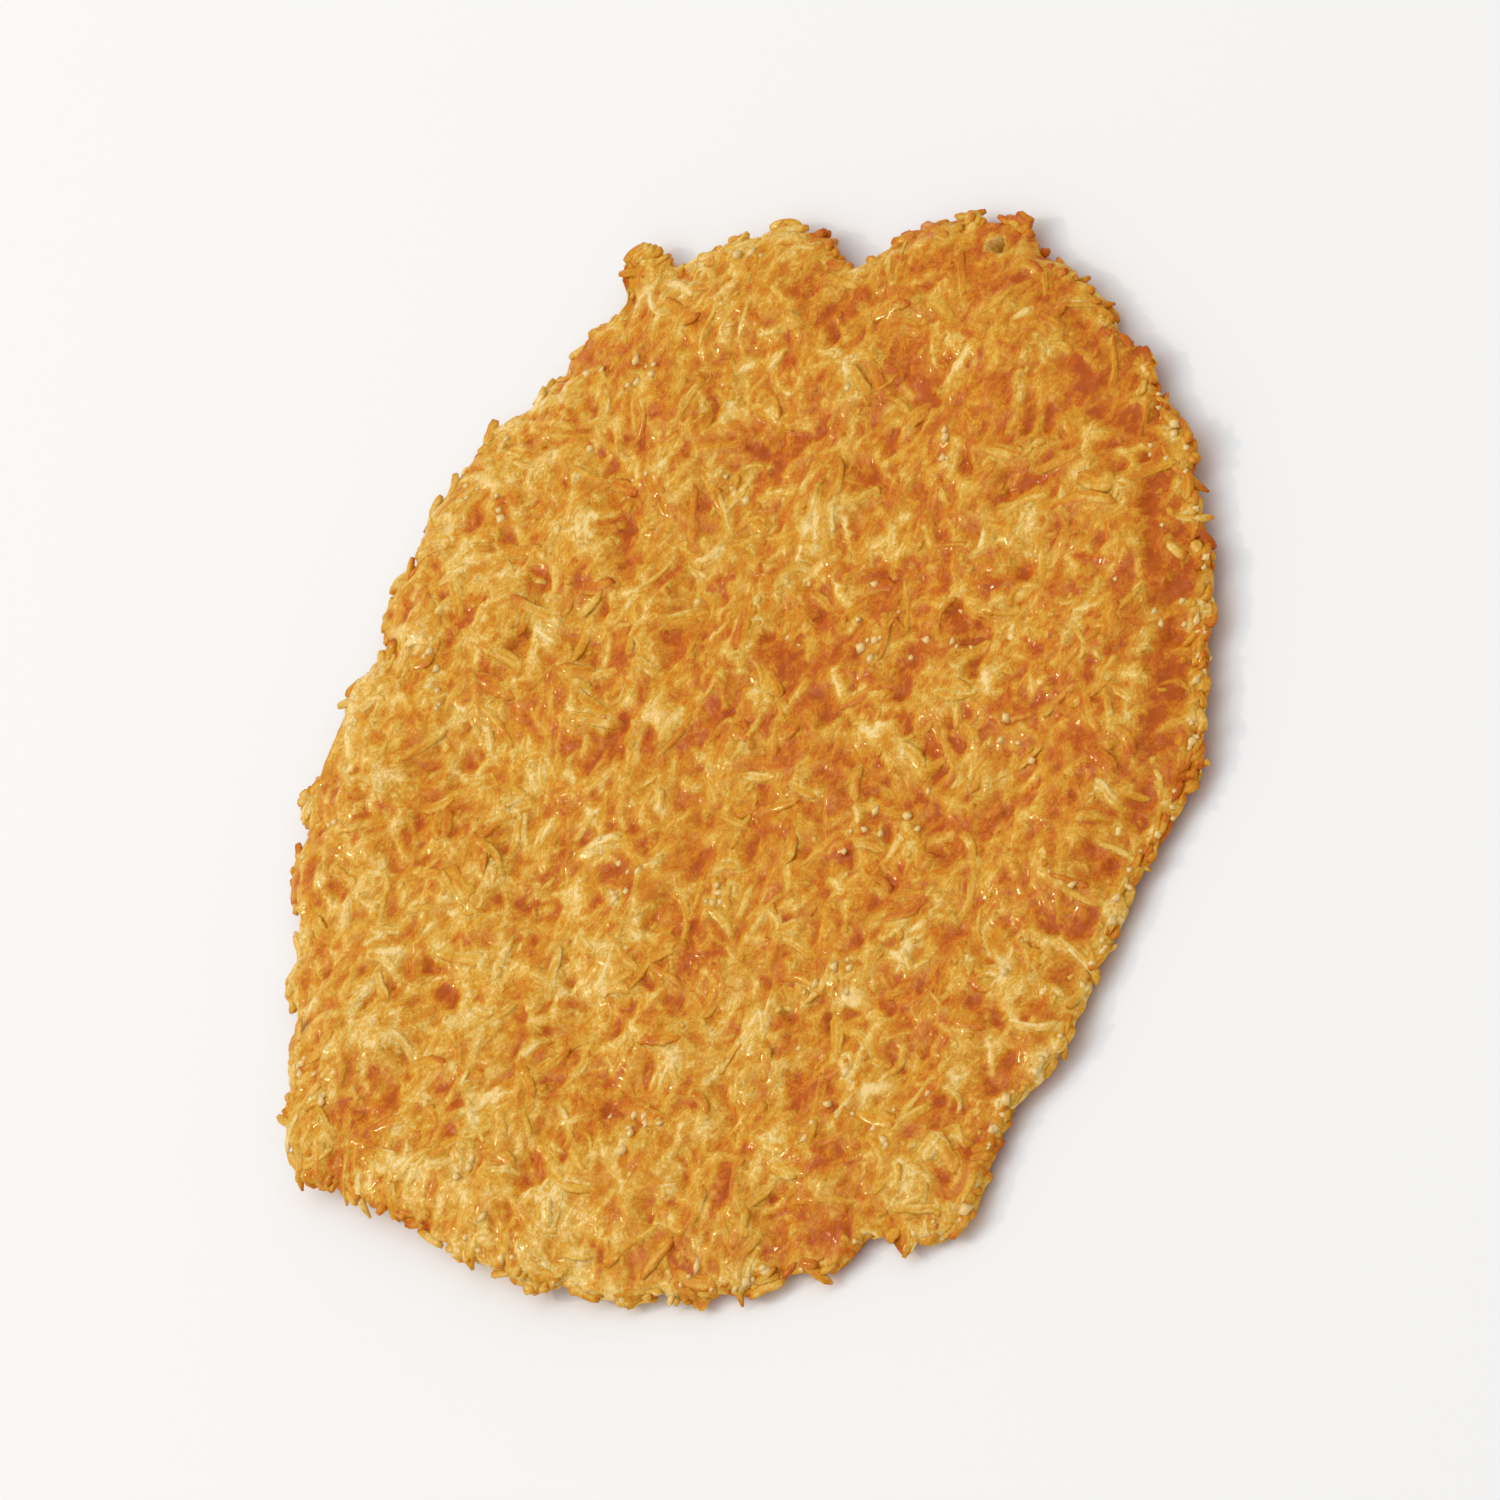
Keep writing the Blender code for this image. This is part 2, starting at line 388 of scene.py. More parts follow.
def attach_numbers(mesh, numbers):
    """Stores arrays on the mesh's points, one value or one vector for each."""
    for label, values in numbers.items():
        if values.ndim == 1:
            layer = mesh.attributes.new(label, "FLOAT", "POINT")
            layer.data.foreach_set("value", values.astype(np.float32))
        else:
            layer = mesh.attributes.new(label, "FLOAT_VECTOR", "POINT")
            layer.data.foreach_set("vector", values.astype(np.float32).ravel())


# %% [markdown]
# ## Toasted coconut
#
# Coconut flesh is white. With sugar and butter on it, it turns in the oven from cream through straw
# gold to a deep orange brown. Its colours are one ramp from pale to burnt, and every change in the
# material, from a speck to a patch, moves along that ramp, as the real one can only be more or less
# toasted. The changes that are finer than the mesh come from noise, at the sizes below.

# %% Toasted colours and sizes
TOAST_COLOURS = [
    (0.0, "#F3D490"),
    (0.2, "#E3B755"),
    (0.4, "#D99E2C"),
    (0.6, "#D18616"),
    (0.8, "#CA6D0E"),
    (1.0, "#B95604"),
]
TOAST_RANGE = 0.8  # of the colours, which a tone from 0 to 1 spans
TOAST_START = 0.21  # of the colours, where a tone of 0 lies
# Coconut's fibres are about a tenth of a millimetre apart. They are drawn coarser, so that they show.
FIBRE_SPACING_MM = 0.26
FIBRE_LENGTH_MM = 2.0
# size in mm and detail: crumbs, browned grains of sugar, shreds that browned together, and the
# spots where the glaze ran together
NOISES = {"crumbs": (0.16, 1.0), "specks": (0.35, 2.0), "patches": (2.6, 2.0), "glaze": (0.8, 1.0)}
TOAST_CHANGES = {"specks": 0.13, "crumbs": 0.14, "patches": 0.28, "fibres": 0.2}  # either way
NOISE_SPAN = {"From Min": 0.3, "From Max": 0.7}  # in which nearly all of a noise's values lie
TIP_FROM = 0.55  # of the way to a shred's tip, where it starts to brown
TIP_TOAST = 0.2

print("colours, from pale to burnt:", [hex_colour for _, hex_colour in TOAST_COLOURS])

# %% [markdown]
# ## How toasted each point is
#
# A painted texture would need the mesh laid out flat. Here the mesh carries each shred's tone, its
# tips brown a little more, and the noises move the sum up and down. Specks and fibres are also felt
# as relief, finer than any mesh could hold.


# %% Toast and relief
def toast_on_ramp(tree, noises):
    """How toasted each point is, as a place from 0 to 1 along the colours."""
    tone = add(tree, "Attribute", attribute_name="tone").outputs["Fac"]
    tip = add(tree, "Attribute", attribute_name="tip").outputs["Fac"]
    browning = {"Value": tip, "From Min": TIP_FROM, "To Max": TIP_TOAST}
    browned_tip = add(tree, "MapRange", browning).outputs["Result"]
    toast = add(tree, "Math", {0: tone, 1: browned_tip}, operation="ADD").outputs["Value"]
    for label, most in TOAST_CHANGES.items():
        span = {"Value": noises[label], **NOISE_SPAN, "To Min": -most, "To Max": most}
        change = add(tree, "MapRange", span).outputs["Result"]
        toast = add(tree, "Math", {0: toast, 1: change}, operation="ADD").outputs["Value"]
    on_ramp = {0: toast, 1: TOAST_RANGE, 2: TOAST_START}
    return add(tree, "Math", on_ramp, operation="MULTIPLY_ADD").outputs["Value"]


def bumped(tree, heights):
    """The surface's normal, bumped by each height with its strength and depth."""
    normal = None
    for height, strength, depth in heights:
        settings = {"Height": height, "Strength": strength, "Distance": depth}
        if normal:
            settings["Normal"] = normal
        normal = add(tree, "Bump", settings).outputs["Normal"]
    return normal


# %% [markdown]
# ## Coconut baked in caramel
#
# Toasted coconut goes half see-through, so that light soaks in and comes out again a millimetre
# away, red light furthest. Baking wraps it in caramel, a glaze that is satin in most places and
# shines in small spots. Subsurface scattering gives the glow, and a clear coat the shine. A shred
# that is a mesh of its own is too thin for light to soak through it as it does through the whole
# biscuit, so it gets the same material with none of the glow.

# %% Toasted coconut material
GLOW_MM = (0.36, 0.26, 0.1)  # how far red, green and blue light spread
SATIN = {"To Min": 0.2, "To Max": 0.7}  # roughness, from the glossy spots to the dull ones


def toasted_coconut(name, glow, glaze):
    """Glazed coconut, with the share of light that soaks in and the weight of the glaze."""
    material, tree = new_material(name)
    place = add(tree, "TexCoord").outputs["Object"]
    noises = {}
    for label, (size_mm, detail) in NOISES.items():
        settings = {"Vector": place, "Scale": 1 / (size_mm * MM), "Detail": detail}
        noises[label] = add(tree, "TexNoise", settings).outputs["Fac"]
    fibre_place = add(tree, "Attribute", attribute_name="fibre").outputs["Vector"]
    squeeze = {0: fibre_place, 1: (1 / FIBRE_LENGTH_MM, 1 / FIBRE_SPACING_MM, 1)}
    squeezed = add(tree, "VectorMath", squeeze, operation="MULTIPLY").outputs["Vector"]
    settings = {"Vector": squeezed, "Scale": 1.0, "Detail": 1.0}
    noises["fibres"] = add(tree, "TexNoise", settings).outputs["Fac"]

    toast = toast_on_ramp(tree, noises)
    heights = ((noises["specks"], 0.65, 0.13 * MM), (noises["fibres"], 0.7, 0.06 * MM))
    satin = {"Value": noises["glaze"], **NOISE_SPAN, **SATIN}
    sockets = {
        "Base Color": add(tree, "ValToRGB", {"Fac": toast}, TOAST_COLOURS).outputs["Color"],
        "Roughness": add(tree, "MapRange", satin).outputs["Result"],
        "IOR": 1.45,
        "Specular IOR Level": 0.1,
        "Normal": bumped(tree, heights),
        "Subsurface Weight": glow,
        "Subsurface Radius": GLOW_MM,
        "Subsurface Scale": MM,
        "Coat Weight": glaze,
        "Coat Roughness": 0.07,
        "Coat IOR": 1.5,
    }
    shader = add(tree, "BsdfPrincipled", sockets)
    add(tree, "OutputMaterial", {"Surface": shader.outputs["BSDF"]})
    return material


# %% The two finishes
baked_crumb = toasted_coconut("coconut_crumb_baked_in_caramel", glow=0.65, glaze=0.18)
toasted_shred = toasted_coconut("toasted_coconut_shred", glow=0.0, glaze=0.2)
print("materials:", [baked_crumb.name, toasted_shred.name])

# %% [markdown]
# ## Pressing shreds into the crumb
#
# The cook presses the wet mixture into a mat, and each shred lies on those before it. Noise alone
# gives lumps without shreds, and thousands of loose meshes would float or cut through each other.
# So the script does as the cook does, on the height map: it lays shreds and grains down one after
# another, and each raises the map where it lies. That makes the low, matted relief of the crumb,
# with nothing floating and nothing level. A mat holds the map, and what the shreds write in it.

# %% The mat
START_DEPTH = 0.5 * MM
START_TONE = 0.85


class Mat:
    """Height, tone and fibre place over the biscuit, which change as shreds are pressed in."""

    def __init__(self, surface):
        self.pile = surface - START_DEPTH
        self.tone = np.full(surface.shape, START_TONE)
        self.fibre = np.zeros((*surface.shape, 3))


# %% [markdown]
# ## The line of a shred
#
# Grated coconut comes off the grater in strips that bow and sway. A curve object for each would be
# slow, so a shred's centre line is just a few points: a flat path whose heading turns along the way,
# moved inwards where it would overhang the edge too far.

# %% Centre lines
OVERHANG = 0.5 * MM


def centre_line(heading, length, turn, sway, stations):
    """A flat path about the origin, from a heading that turns and sways along the way."""
    t = np.linspace(-1, 1, stations)
    angle = heading + turn * t / 2 + sway * np.sin(math.pi * t)
    between = (angle[1:] + angle[:-1]) / 2
    step = length / (stations - 1)
    path = np.zeros((stations, 2))
    path[1:, 0] = np.cumsum(np.cos(between)) * step
    path[1:, 1] = np.cumsum(np.sin(between)) * step
    return path - path.mean(axis=0)


def held_inside(path):
    """The path, moved inwards until no point of it overhangs the edge too far."""
    over = (np.hypot(path[:, 0], path[:, 1]) - edge_radius(path[:, 0], path[:, 1])).max()
    if over > OVERHANG:
        centre = path.mean(axis=0)
        path = path - centre / np.linalg.norm(centre) * (over - OVERHANG)
    return path


def sideways(path):
    """Unit vectors to the left of the path's direction."""
    ahead = np.gradient(path, axis=0)
    ahead /= np.linalg.norm(ahead, axis=1, keepdims=True)
    return np.stack([-ahead[:, 1], ahead[:, 0]], axis=1)


# %% [markdown]
# ## Coming to rest
#
# A wet shred is soft. It gives to what lies under it, yet bridges a small hollow. A simulation could
# find how it lies, but a straight line through the heights under it, bent most of the way back to
# them, looks the same and takes no time. Then the shred sinks in by a share of its depth.

# %% Coming to rest
FOLLOW = 0.75  # how far a soft shred gives to what lies under it
ACROSS = np.linspace(-0.7, 0.7, 3)  # of the half width, where the heights under it are read
HIGHEST = cad_high.z + 0.05 * MM


def rest_on_pile(mat, path, width, depth, sunk):
    """Heights of a shred's centre line where it comes to rest."""
    side = sideways(path)
    spots = path[:, None, :] + side[:, None, :] * (ACROSS * width / 2)[None, :, None]
    under = mat.pile[cells(spots[..., 0], spots[..., 1])].mean(axis=1)
    t = np.linspace(-1, 1, len(path))
    slope, level = np.polyfit(t, under, 1)
    straight = level + slope * t
    bent = straight + FOLLOW * (under - straight)
    bent = np.convolve(np.pad(bent, 1, mode="edge"), (0.25, 0.5, 0.25), mode="valid")
    return np.minimum(bent + (0.5 - sunk) * depth, HIGHEST - depth / 2)


# %% [markdown]
# ## Raising the pile
#
# The shred's rounded back is stamped on the map, with sides that wander and a fine grain. Only the
# cells that it rises above are changed. They also take its tone, and their place along and across
# its fibres, so that the material can draw the fibres the right way round.

# %% Raising the pile
STAMP_STEP = 0.08 * MM
CROWN = 0.95  # of the half width, where a shred's back meets the crumb
NARROWING = 0.8  # of the square of the width, lost at a tip
RAGGED = 0.14  # of the width, how much a shred's sides wander
BACK_GRAIN = 0.02 * MM
FIBRE_SHIFT_MM = 3  # so that no two shreds show the same fibres


def raise_pile(mat, path, heights, width, depth, tone, rng):
    """Adds the shred's rounded back and its tone to the maps, where it comes out on top."""
    length = np.linalg.norm(np.diff(path, axis=0), axis=1).sum()
    t = np.linspace(-1, 1, len(path))
    fine = np.linspace(-1, 1, max(3, round(length / STAMP_STEP)))
    x, y, z = (np.interp(fine, t, values) for values in (path[:, 0], path[:, 1], heights))
    line = np.stack([x, y], axis=1)
    side = sideways(line)
    across = np.linspace(-CROWN, CROWN, max(3, round(width / STAMP_STEP)))
    half_width = width / 2 * np.sqrt(1 - NARROWING * fine**4)
    half_width = half_width * (1 + rng.normal(0, RAGGED, len(fine)))
    spots = line[:, None, :] + side[:, None, :] * (half_width[:, None] * across)[..., None]
    back = z[:, None] + np.sqrt(1 - across**2) * depth / 2
    back += rng.normal(0, BACK_GRAIN, back.shape)
    where = cells(spots[..., 0], spots[..., 1])
    on_top = back > mat.pile[where]
    where = (where[0][on_top], where[1][on_top])
    mat.pile[where] = back[on_top]
    mat.tone[where] = tone
    along = np.broadcast_to(fine[:, None] * length / 2, back.shape)
    fibre = np.stack([along, half_width[:, None] * across, 0 * along], axis=-1) / MM
    mat.fibre[where] = (fibre + rng.uniform(0, FIBRE_SHIFT_MM, 3))[on_top]


# %% [markdown]
# ## Toasting, and painted shade across the biscuit
#
# No biscuit browns evenly. Here and there the mat is thinner or wetter, and slow noise says how
# much more than the average a place was toasted. A slope across the biscuit is painted shade: the
# tone grows darker towards the side away from the key lamp. A shred takes both from where it lies,
# so neighbours come out alike.

# %% Places and their toasting
SPOT_REACH = 38 * MM
# painted shade: how much darker the tone grows towards one side
PAINTED_SIDE_SHADE = 0.16
HOTTER_PATCHES = 0.3
HOT_PATCH = 7 * MM
NOISE_LAYER = 17.3  # any slice through the noise would do


def random_spot(rng):
    """A place on the biscuit, even over its area."""
    while True:
        spot = rng.uniform(-SPOT_REACH, SPOT_REACH, 2)
        if on_biscuit[cells(spot[:1], spot[1:])][0]:
            return spot


def toast_and_side_shade(x, y):
    """How much darker than the average a place is: painted shade to one side, toasting in patches."""
    side = (x - y) / math.sqrt(2) / edge_radii.mean()
    patch = noise.noise(Vector((x / HOT_PATCH, y / HOT_PATCH, NOISE_LAYER)))
    return PAINTED_SIDE_SHADE * side + HOTTER_PATCHES * patch


print("toasting at the middle:", round(toast_and_side_shade(0, 0), 2))

# %% [markdown]
# ## Laying a batch
#
# Most shreds off a grater are of a middling length, with a few short scraps and long strips, so
# sizes are drawn from a triangle: the least, the most common and the greatest. Some shreds have
# curled right round in the heat, and these are thinner.

# %% Laying a batch
BOW = 0.5  # in radians, how far most shreds turn along their length
SWAY = 0.12
CURLED = 0.08  # share of the shreds
CURL = (1.2, 3.0)  # in radians
CURLED_WIDTH = 0.75


def lay_shreds(mat, rng, count, stations, length_mm, width_mm, depth_mm, sunk, tone_mean, spread):
    """Lays shreds of random size, bend and tone, and returns their lines, sizes and tones."""
    lines, sizes = [], []
    for _ in range(count):
        length = rng.triangular(*length_mm) * MM
        width = rng.triangular(*width_mm) * MM
        depth = rng.uniform(*depth_mm) * MM
        turn = rng.normal(0, BOW)
        if rng.random() < CURLED:
            turn = rng.choice((-1, 1)) * rng.uniform(*CURL)
            width *= CURLED_WIDTH
        path = centre_line(rng.uniform(0, math.pi), length, turn, rng.normal(0, SWAY), stations)
        path = held_inside(path + random_spot(rng))
        heights = rest_on_pile(mat, path, width, depth, sunk)
        # the place's toasting, plus painted shade towards one side
        tone = rng.normal(tone_mean, spread) + toast_and_side_shade(*path.mean(axis=0))
        tone = min(max(tone, 0.0), 1.0)
        raise_pile(mat, path, heights, width, depth, tone, rng)
        lines.append(np.column_stack([path, heights]))
        sizes.append((width, depth, tone))
    widths, depths, tones = np.array(sizes).T
    return np.array(lines), widths, depths, tones


# %% [markdown]
# ## The groove inside the near rim
#
# Along the near side the mixture slumped as it baked, and left a shallow groove inside the rim.
# Its tone is also made darker, which is painted shade, and a band along the rim is made paler,
# which is a painted highlight. The groove could be cut out of the mesh afterwards, but then the
# shreds in it would be cut too. So the map is lowered there before any shred is laid. Both bands
# are soft, and fade out towards the ends of that side.

# %% Groove
GROOVE_DEPTH = 0.35 * MM
GROOVE_INSET = 2.1 * MM
GROOVE_WIDTH = 1.2 * MM
# painted shade: how much darker the groove's tone is made
GROOVE_PAINTED_SHADE = 0.3
# painted highlight: a paler band along the near rim, beyond the groove
HIGHLIGHT_INSET = 0.8 * MM
HIGHLIGHT_WIDTH = 0.5 * MM
RIM_PAINTED_HIGHLIGHT = -0.25
NEAR_SIDE = math.radians(-75)

grid_x, grid_y = np.meshgrid(columns, rows)
inset = edge_radius(grid_x, grid_y) - np.hypot(grid_x, grid_y)
nearness = np.clip(np.cos(np.arctan2(grid_y, grid_x) - NEAR_SIDE), 0, 1)
groove = np.exp(-(((inset - GROOVE_INSET) / GROOVE_WIDTH) ** 2)) * nearness
# where the painted highlight lies along the near rim
painted_highlight_band = np.exp(-(((inset - HIGHLIGHT_INSET) / HIGHLIGHT_WIDTH) ** 2)) * nearness
print("groove, mm2:", round((groove > 0.5).sum() * (CELL / MM) ** 2))

# %% [markdown]
# ## Pressing the top
#
# Thick brown shreds carry the mat, and crumbs fill it. Thinner shreds, broad flakes, small grains
# and a paler layer follow, as what lies on top has less caramel on it. The very last ones, golden
# and pale shreds and grains, are those that show. They are made as meshes too, further down.

# %% Pressing the top
# count, stations, then length, width and depth in mm, share sunk in, tone and its spread
TOP_BATCHES = (
    (2600, 7, (1.2, 2.8, 6.0), (0.5, 0.9, 1.8), (0.3, 0.5), 0.66, 0.66, 0.14),
    (3000, 5, (0.4, 0.7, 1.6), (0.3, 0.5, 1.0), (0.25, 0.4), 0.62, 0.6, 0.16),
    (2400, 7, (0.8, 2.0, 4.5), (0.3, 0.55, 1.0), (0.2, 0.35), 0.66, 0.55, 0.2),
    (1100, 7, (1.4, 2.6, 4.5), (0.8, 1.3, 2.2), (0.2, 0.32), 0.7, 0.36, 0.16),
    (1000, 5, (0.4, 0.6, 1.2), (0.3, 0.4, 0.7), (0.2, 0.3), 0.6, 0.55, 0.22),
    (2200, 7, (1.2, 2.8, 5.0), (0.3, 0.5, 0.9), (0.22, 0.32), 0.64, 0.36, 0.22),
)
GOLDEN_BATCH = (240, 9, (1.2, 2.8, 5.5), (0.5, 0.9, 1.5), (0.22, 0.32), 0.8, 0.34, 0.12)
PALE_BATCH = (260, 9, (1.0, 2.4, 4.5), (0.35, 0.55, 0.9), (0.2, 0.3), 0.72, 0.18, 0.12)
GRAIN_BATCH = (900, 5, (0.35, 0.6, 1.1), (0.3, 0.45, 0.7), (0.2, 0.3), 0.7, 0.3, 0.12)

rng = np.random.default_rng(7)
top = Mat(top_map - groove * GROOVE_DEPTH)
for batch in TOP_BATCHES:
    lay_shreds(top, rng, *batch)
golden = lay_shreds(top, rng, *GOLDEN_BATCH)
pale = lay_shreds(top, rng, *PALE_BATCH)
grains = lay_shreds(top, rng, *GRAIN_BATCH)
gap = (top.pile - top_map)[on_biscuit]
print("pile against the solid's top, mm:", round(gap.mean() / MM, 2), "+-", round(gap.std() / MM, 2))

# %% [markdown]
# ## Melting it together
#
# In the oven the sugar melts over everything and rounds it off, which a real fluid simulation would
# take hours to do. Softening the map by a cell or two looks the same. Grain at three sizes then
# stands for sugar and crumbs. The hollows that are left go darker, partly as caramel pools in them
# and partly as painted shade, and the crags go paler, partly bare of caramel and partly as a painted
# highlight.

# %% Grain and glaze
MELT_PASSES = 3
GRAIN = ((1, 0.015 * MM), (5, 0.02 * MM), (20, 0.03 * MM))  # passes of softening, height
HOLLOW_PASSES = 60
HOLLOW_DEPTH = 0.5 * MM  # in which the tone goes from pale to burnt
# partly pooled caramel, partly painted shade in hollows and painted highlight on crags
HOLLOW_CARAMEL_AND_SHADE = (-0.25, 0.4)  # the most that a crag is paler, and a hollow darker
TOP_LEVEL = -0.05 * MM


def grain(passes):
    """Random ups and downs over the map, the coarser the more often they are softened."""
    values = softened(rng.normal(size=on_biscuit.shape), passes)
    return values / values.std()


def glazed(mat, surface, above):
    """Rounds off the mat, adds grain, and sets its mean at a height above the surface."""
    mat.pile = softened(mat.pile, MELT_PASSES)
    for passes, height in GRAIN:
        mat.pile += grain(passes) * height
    mat.pile += (surface - mat.pile)[on_biscuit].mean() + above
    hollow = softened(mat.pile, HOLLOW_PASSES) - mat.pile
    # painted shade in the hollows and painted highlight on the crags, with caramel that pools low
    mat.tone = softened(mat.tone, 1) + np.clip(hollow / HOLLOW_DEPTH, *HOLLOW_CARAMEL_AND_SHADE)
    print("relief, mm:", round(hollow[on_biscuit].std() / MM, 3))


glazed(top, top_map, TOP_LEVEL)
# painted shade in the groove, and a painted highlight on the rim beyond it
top.tone += groove * GROOVE_PAINTED_SHADE + painted_highlight_band * RIM_PAINTED_HIGHLIGHT

# %% [markdown]
# ## The highest crag
#
# Rounding off took something from the highest crag as well, which the solid's height comes from. It
# could be left low, but then the biscuit would be flatter than it is. A wide, soft bump under it
# gives its height back, and keeps a little headroom for the shreds on it.

# %% The highest crag
SUMMIT_WIDTH = 5 * MM
HEADROOM = 0.1 * MM  # kept under the solid's highest point
peak = np.unravel_index(np.where(on_biscuit, top.pile, 0).argmax(), top.pile.shape)
from_peak = np.hypot(grid_x - grid_x[peak], grid_y - grid_y[peak])
lift = max(0, cad_high.z - HEADROOM - top.pile[peak])
top.pile += lift * np.exp(-((from_peak / SUMMIT_WIDTH) ** 2))
print("the highest crag is raised by, mm:", round(lift / MM, 2))

# %% [markdown]
# ## The underside
#
# The underside is pressed flat on the baking sheet, and browns most, as the sheet is hot. It is a
# mat upside down, with darker shreds that are sunk in deeper, and nothing of it reaches under the
# solid's lowest point.

# %% Underside
UNDERSIDE_BATCHES = (
    (2600, 7, (1.2, 2.8, 6.0), (0.5, 0.9, 1.8), (0.2, 0.3), 0.8, 0.72, 0.12),
    (1500, 5, (0.5, 1.2, 3.0), (0.3, 0.6, 1.0), (0.2, 0.3), 0.8, 0.62, 0.14),
)

below = Mat(-underside_map)
for batch in UNDERSIDE_BATCHES:
    lay_shreds(below, rng, *batch)
glazed(below, -underside_map, 0.0)
underside = np.maximum(-below.pile, cad_low.z)

# %% [markdown]
# ## The crust
#
# The crust is one closed skin round the whole biscuit. A square grid would be the simplest mesh, but
# it leaves steps along a round edge. So its points stand on rings: from the middle of the top
# outwards, round the rim, and back to the middle of the underside. A ring's number of points comes
# from its length, so that all faces are about the same size.

# %% Rings
TOP_STEP = 0.225 * MM
RIM_INSET = 0.3 * MM
EDGE_SHARE = 0.86  # of the way out, where rings start to follow the edge's nicks
FEWEST_POINTS = 6


def ring_directions(count):
    """Compass directions of a ring's points, evenly spaced."""
    return -math.pi + 2 * math.pi * np.arange(count) / count


def place_on_ring(share, count):
    """Places on a ring at a share of the edge's radius. Only outer rings follow its nicks."""
    turn = ring_directions(count)
    even = np.interp(turn, compass, inner_radii)
    true = np.interp(turn, compass, edge_radii)
    blend = max(0, (share - EDGE_SHARE) / (1 - EDGE_SHARE)) ** 1.5
    radius = share * (even + (true - even) * blend - RIM_INSET)
    return radius * np.cos(turn), radius * np.sin(turn)


def points_round(share, step):
    """How many points a ring needs, for faces of about a step's size."""
    return max(FEWEST_POINTS, round(2 * math.pi * share * edge_radii.mean() / step))


def ring_on(heights, share, step):
    """A ring's points at a share of the edge's radius, at the heights of a map."""
    x, y = place_on_ring(share, points_round(share, step))
    return np.stack([x, y, read_map(heights, x, y)], axis=1)


top_rings = round(edge_radii.mean() / TOP_STEP)
rings = [ring_on(top.pile, k / top_rings, TOP_STEP) for k in range(1, top_rings + 1)]
print("rings on the top:", top_rings)

# %% [markdown]
# ## Round the rim and under
#
# The rim's side is a little rounded, and fullest half-way down. Its rings keep the number of points
# of the outermost ring of the top. The underside shows less, so its rings are wider apart.

# %% Rim and underside rings
UNDERSIDE_STEP = 0.42 * MM
# share of RIM_INSET inwards, and share of the way from the top to the underside
RIM_SECTION = ((0.45, 0.1), (0.12, 0.28), (0.0, 0.5), (0.15, 0.72), (0.5, 0.9), (1.0, 1.0))

turn = ring_directions(len(rings[-1]))
rim_radius = np.interp(turn, compass, edge_radii)
rim_top = rings[-1][:, 2]
rim_bottom = read_map(underside, rings[-1][:, 0], rings[-1][:, 1])
for inwards, drop in RIM_SECTION:
    radius = rim_radius - inwards * RIM_INSET
    x, y = radius * np.cos(turn), radius * np.sin(turn)
    rings.append(np.stack([x, y, rim_top + (rim_bottom - rim_top) * drop], axis=1))

under_rings = round(edge_radii.mean() / UNDERSIDE_STEP)
for k in range(under_rings - 1, 0, -1):
    rings.append(ring_on(underside, k / under_rings, UNDERSIDE_STEP))

centre_x = np.zeros(1)
top_centre = np.array([[0, 0, read_map(top.pile, centre_x, centre_x)[0]]])
under_centre = np.array([[0, 0, read_map(underside, centre_x, centre_x)[0]]])
points = np.concatenate([top_centre] + rings + [under_centre])
firsts = 1 + np.concatenate([[0], np.cumsum([len(r) for r in rings])])
print("rings in all:", len(rings), "points:", len(points))

# %% [markdown]
# ## Faces between the rings
#
# Blender's bridge tool could join the rings two at a time. A zip that always steps to the nearer
# point is as short, gives even triangles, and shows how such a join works. Fans close the middles.


# %% Crust faces
def zipped(first, count, next_first, next_count):
    """Triangles between two rings, each given by its first point's number and its point count."""
    faces = []
    i = j = 0
    while i < count or j < next_count:
        here, there = first + i % count, next_first + j % next_count
        if j == next_count or (i < count and (i + 1) / count <= (j + 1) / next_count):
            i += 1
            faces.append((here, there, first + i % count))
        else:
            j += 1
            faces.append((here, there, next_first + j % next_count))
    return faces


faces = [(0, 1 + i, 1 + (i + 1) % len(rings[0])) for i in range(len(rings[0]))]
for k in range(len(rings) - 1):
    faces += zipped(firsts[k], len(rings[k]), firsts[k + 1], len(rings[k + 1]))
last = firsts[-2]
faces += [(len(points) - 1, last + (i + 1) % len(rings[-1]), last + i) for i in range(len(rings[-1]))]
faces = np.array(faces)
print("faces:", len(faces))

# %% [markdown]
# ## Lumps, tones and fibres of the crust
#
# The rim's side was torn, so slow noise pushes it in and out. Then each point takes its tone and the
# place along its fibres from the map that it came from, and the crust stands for the solid.

# %% Crust
RIM_LUMPS = 0.3 * MM
RIM_LUMP_SIZE = 0.8 * MM
RIM_TOAST = -0.08

rim_from, rim_to = firsts[top_rings], firsts[top_rings + len(RIM_SECTION) - 1]
rim = points[rim_from:rim_to]
lump = np.array([noise.noise(Vector(p) / RIM_LUMP_SIZE) for p in rim])
outward = rim[:, :2] / np.linalg.norm(rim[:, :2], axis=1, keepdims=True)
rim[:, :2] += outward * (lump * RIM_LUMPS - RIM_LUMPS / 2)[:, None]
points[:, 2] = np.maximum(points[:, 2], cad_low.z)
where = cells(points[:, 0], points[:, 1])
from_below = np.arange(len(points)) >= rim_to
tones = np.where(from_below, below.tone[where], top.tone[where])
tones[rim_from:rim_to] += RIM_TOAST
fibres = np.where(from_below[:, None], below.fibre[where], top.fibre[where])
numbers = {"tone": np.clip(tones, 0, 1), "fibre": fibres}
crust = make_piece("crust", points, [faces], numbers, baked_crumb)
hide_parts("tuile")

# %% [markdown]
# ## A pinhole
#
# Near the rim the mat is so thin that it has one small hole right through it. Leaving out faces
# would leave a hole with no sides. So a slanting, lumpy plug is taken out of the crust there, with
# Blender's exact Boolean, which keeps the crust closed.

# %% Plug
HOLE_DIRECTION = math.radians(4)
HOLE_INSET = 2.3 * MM
HOLE_HALF_SIZES = (0.55 * MM, 0.8 * MM)
HOLE_SLANT = 0.55  # how far it shifts for each millimetre of depth
PLUG_LENGTH = 8 * MM
PLUG_SIDES = 18

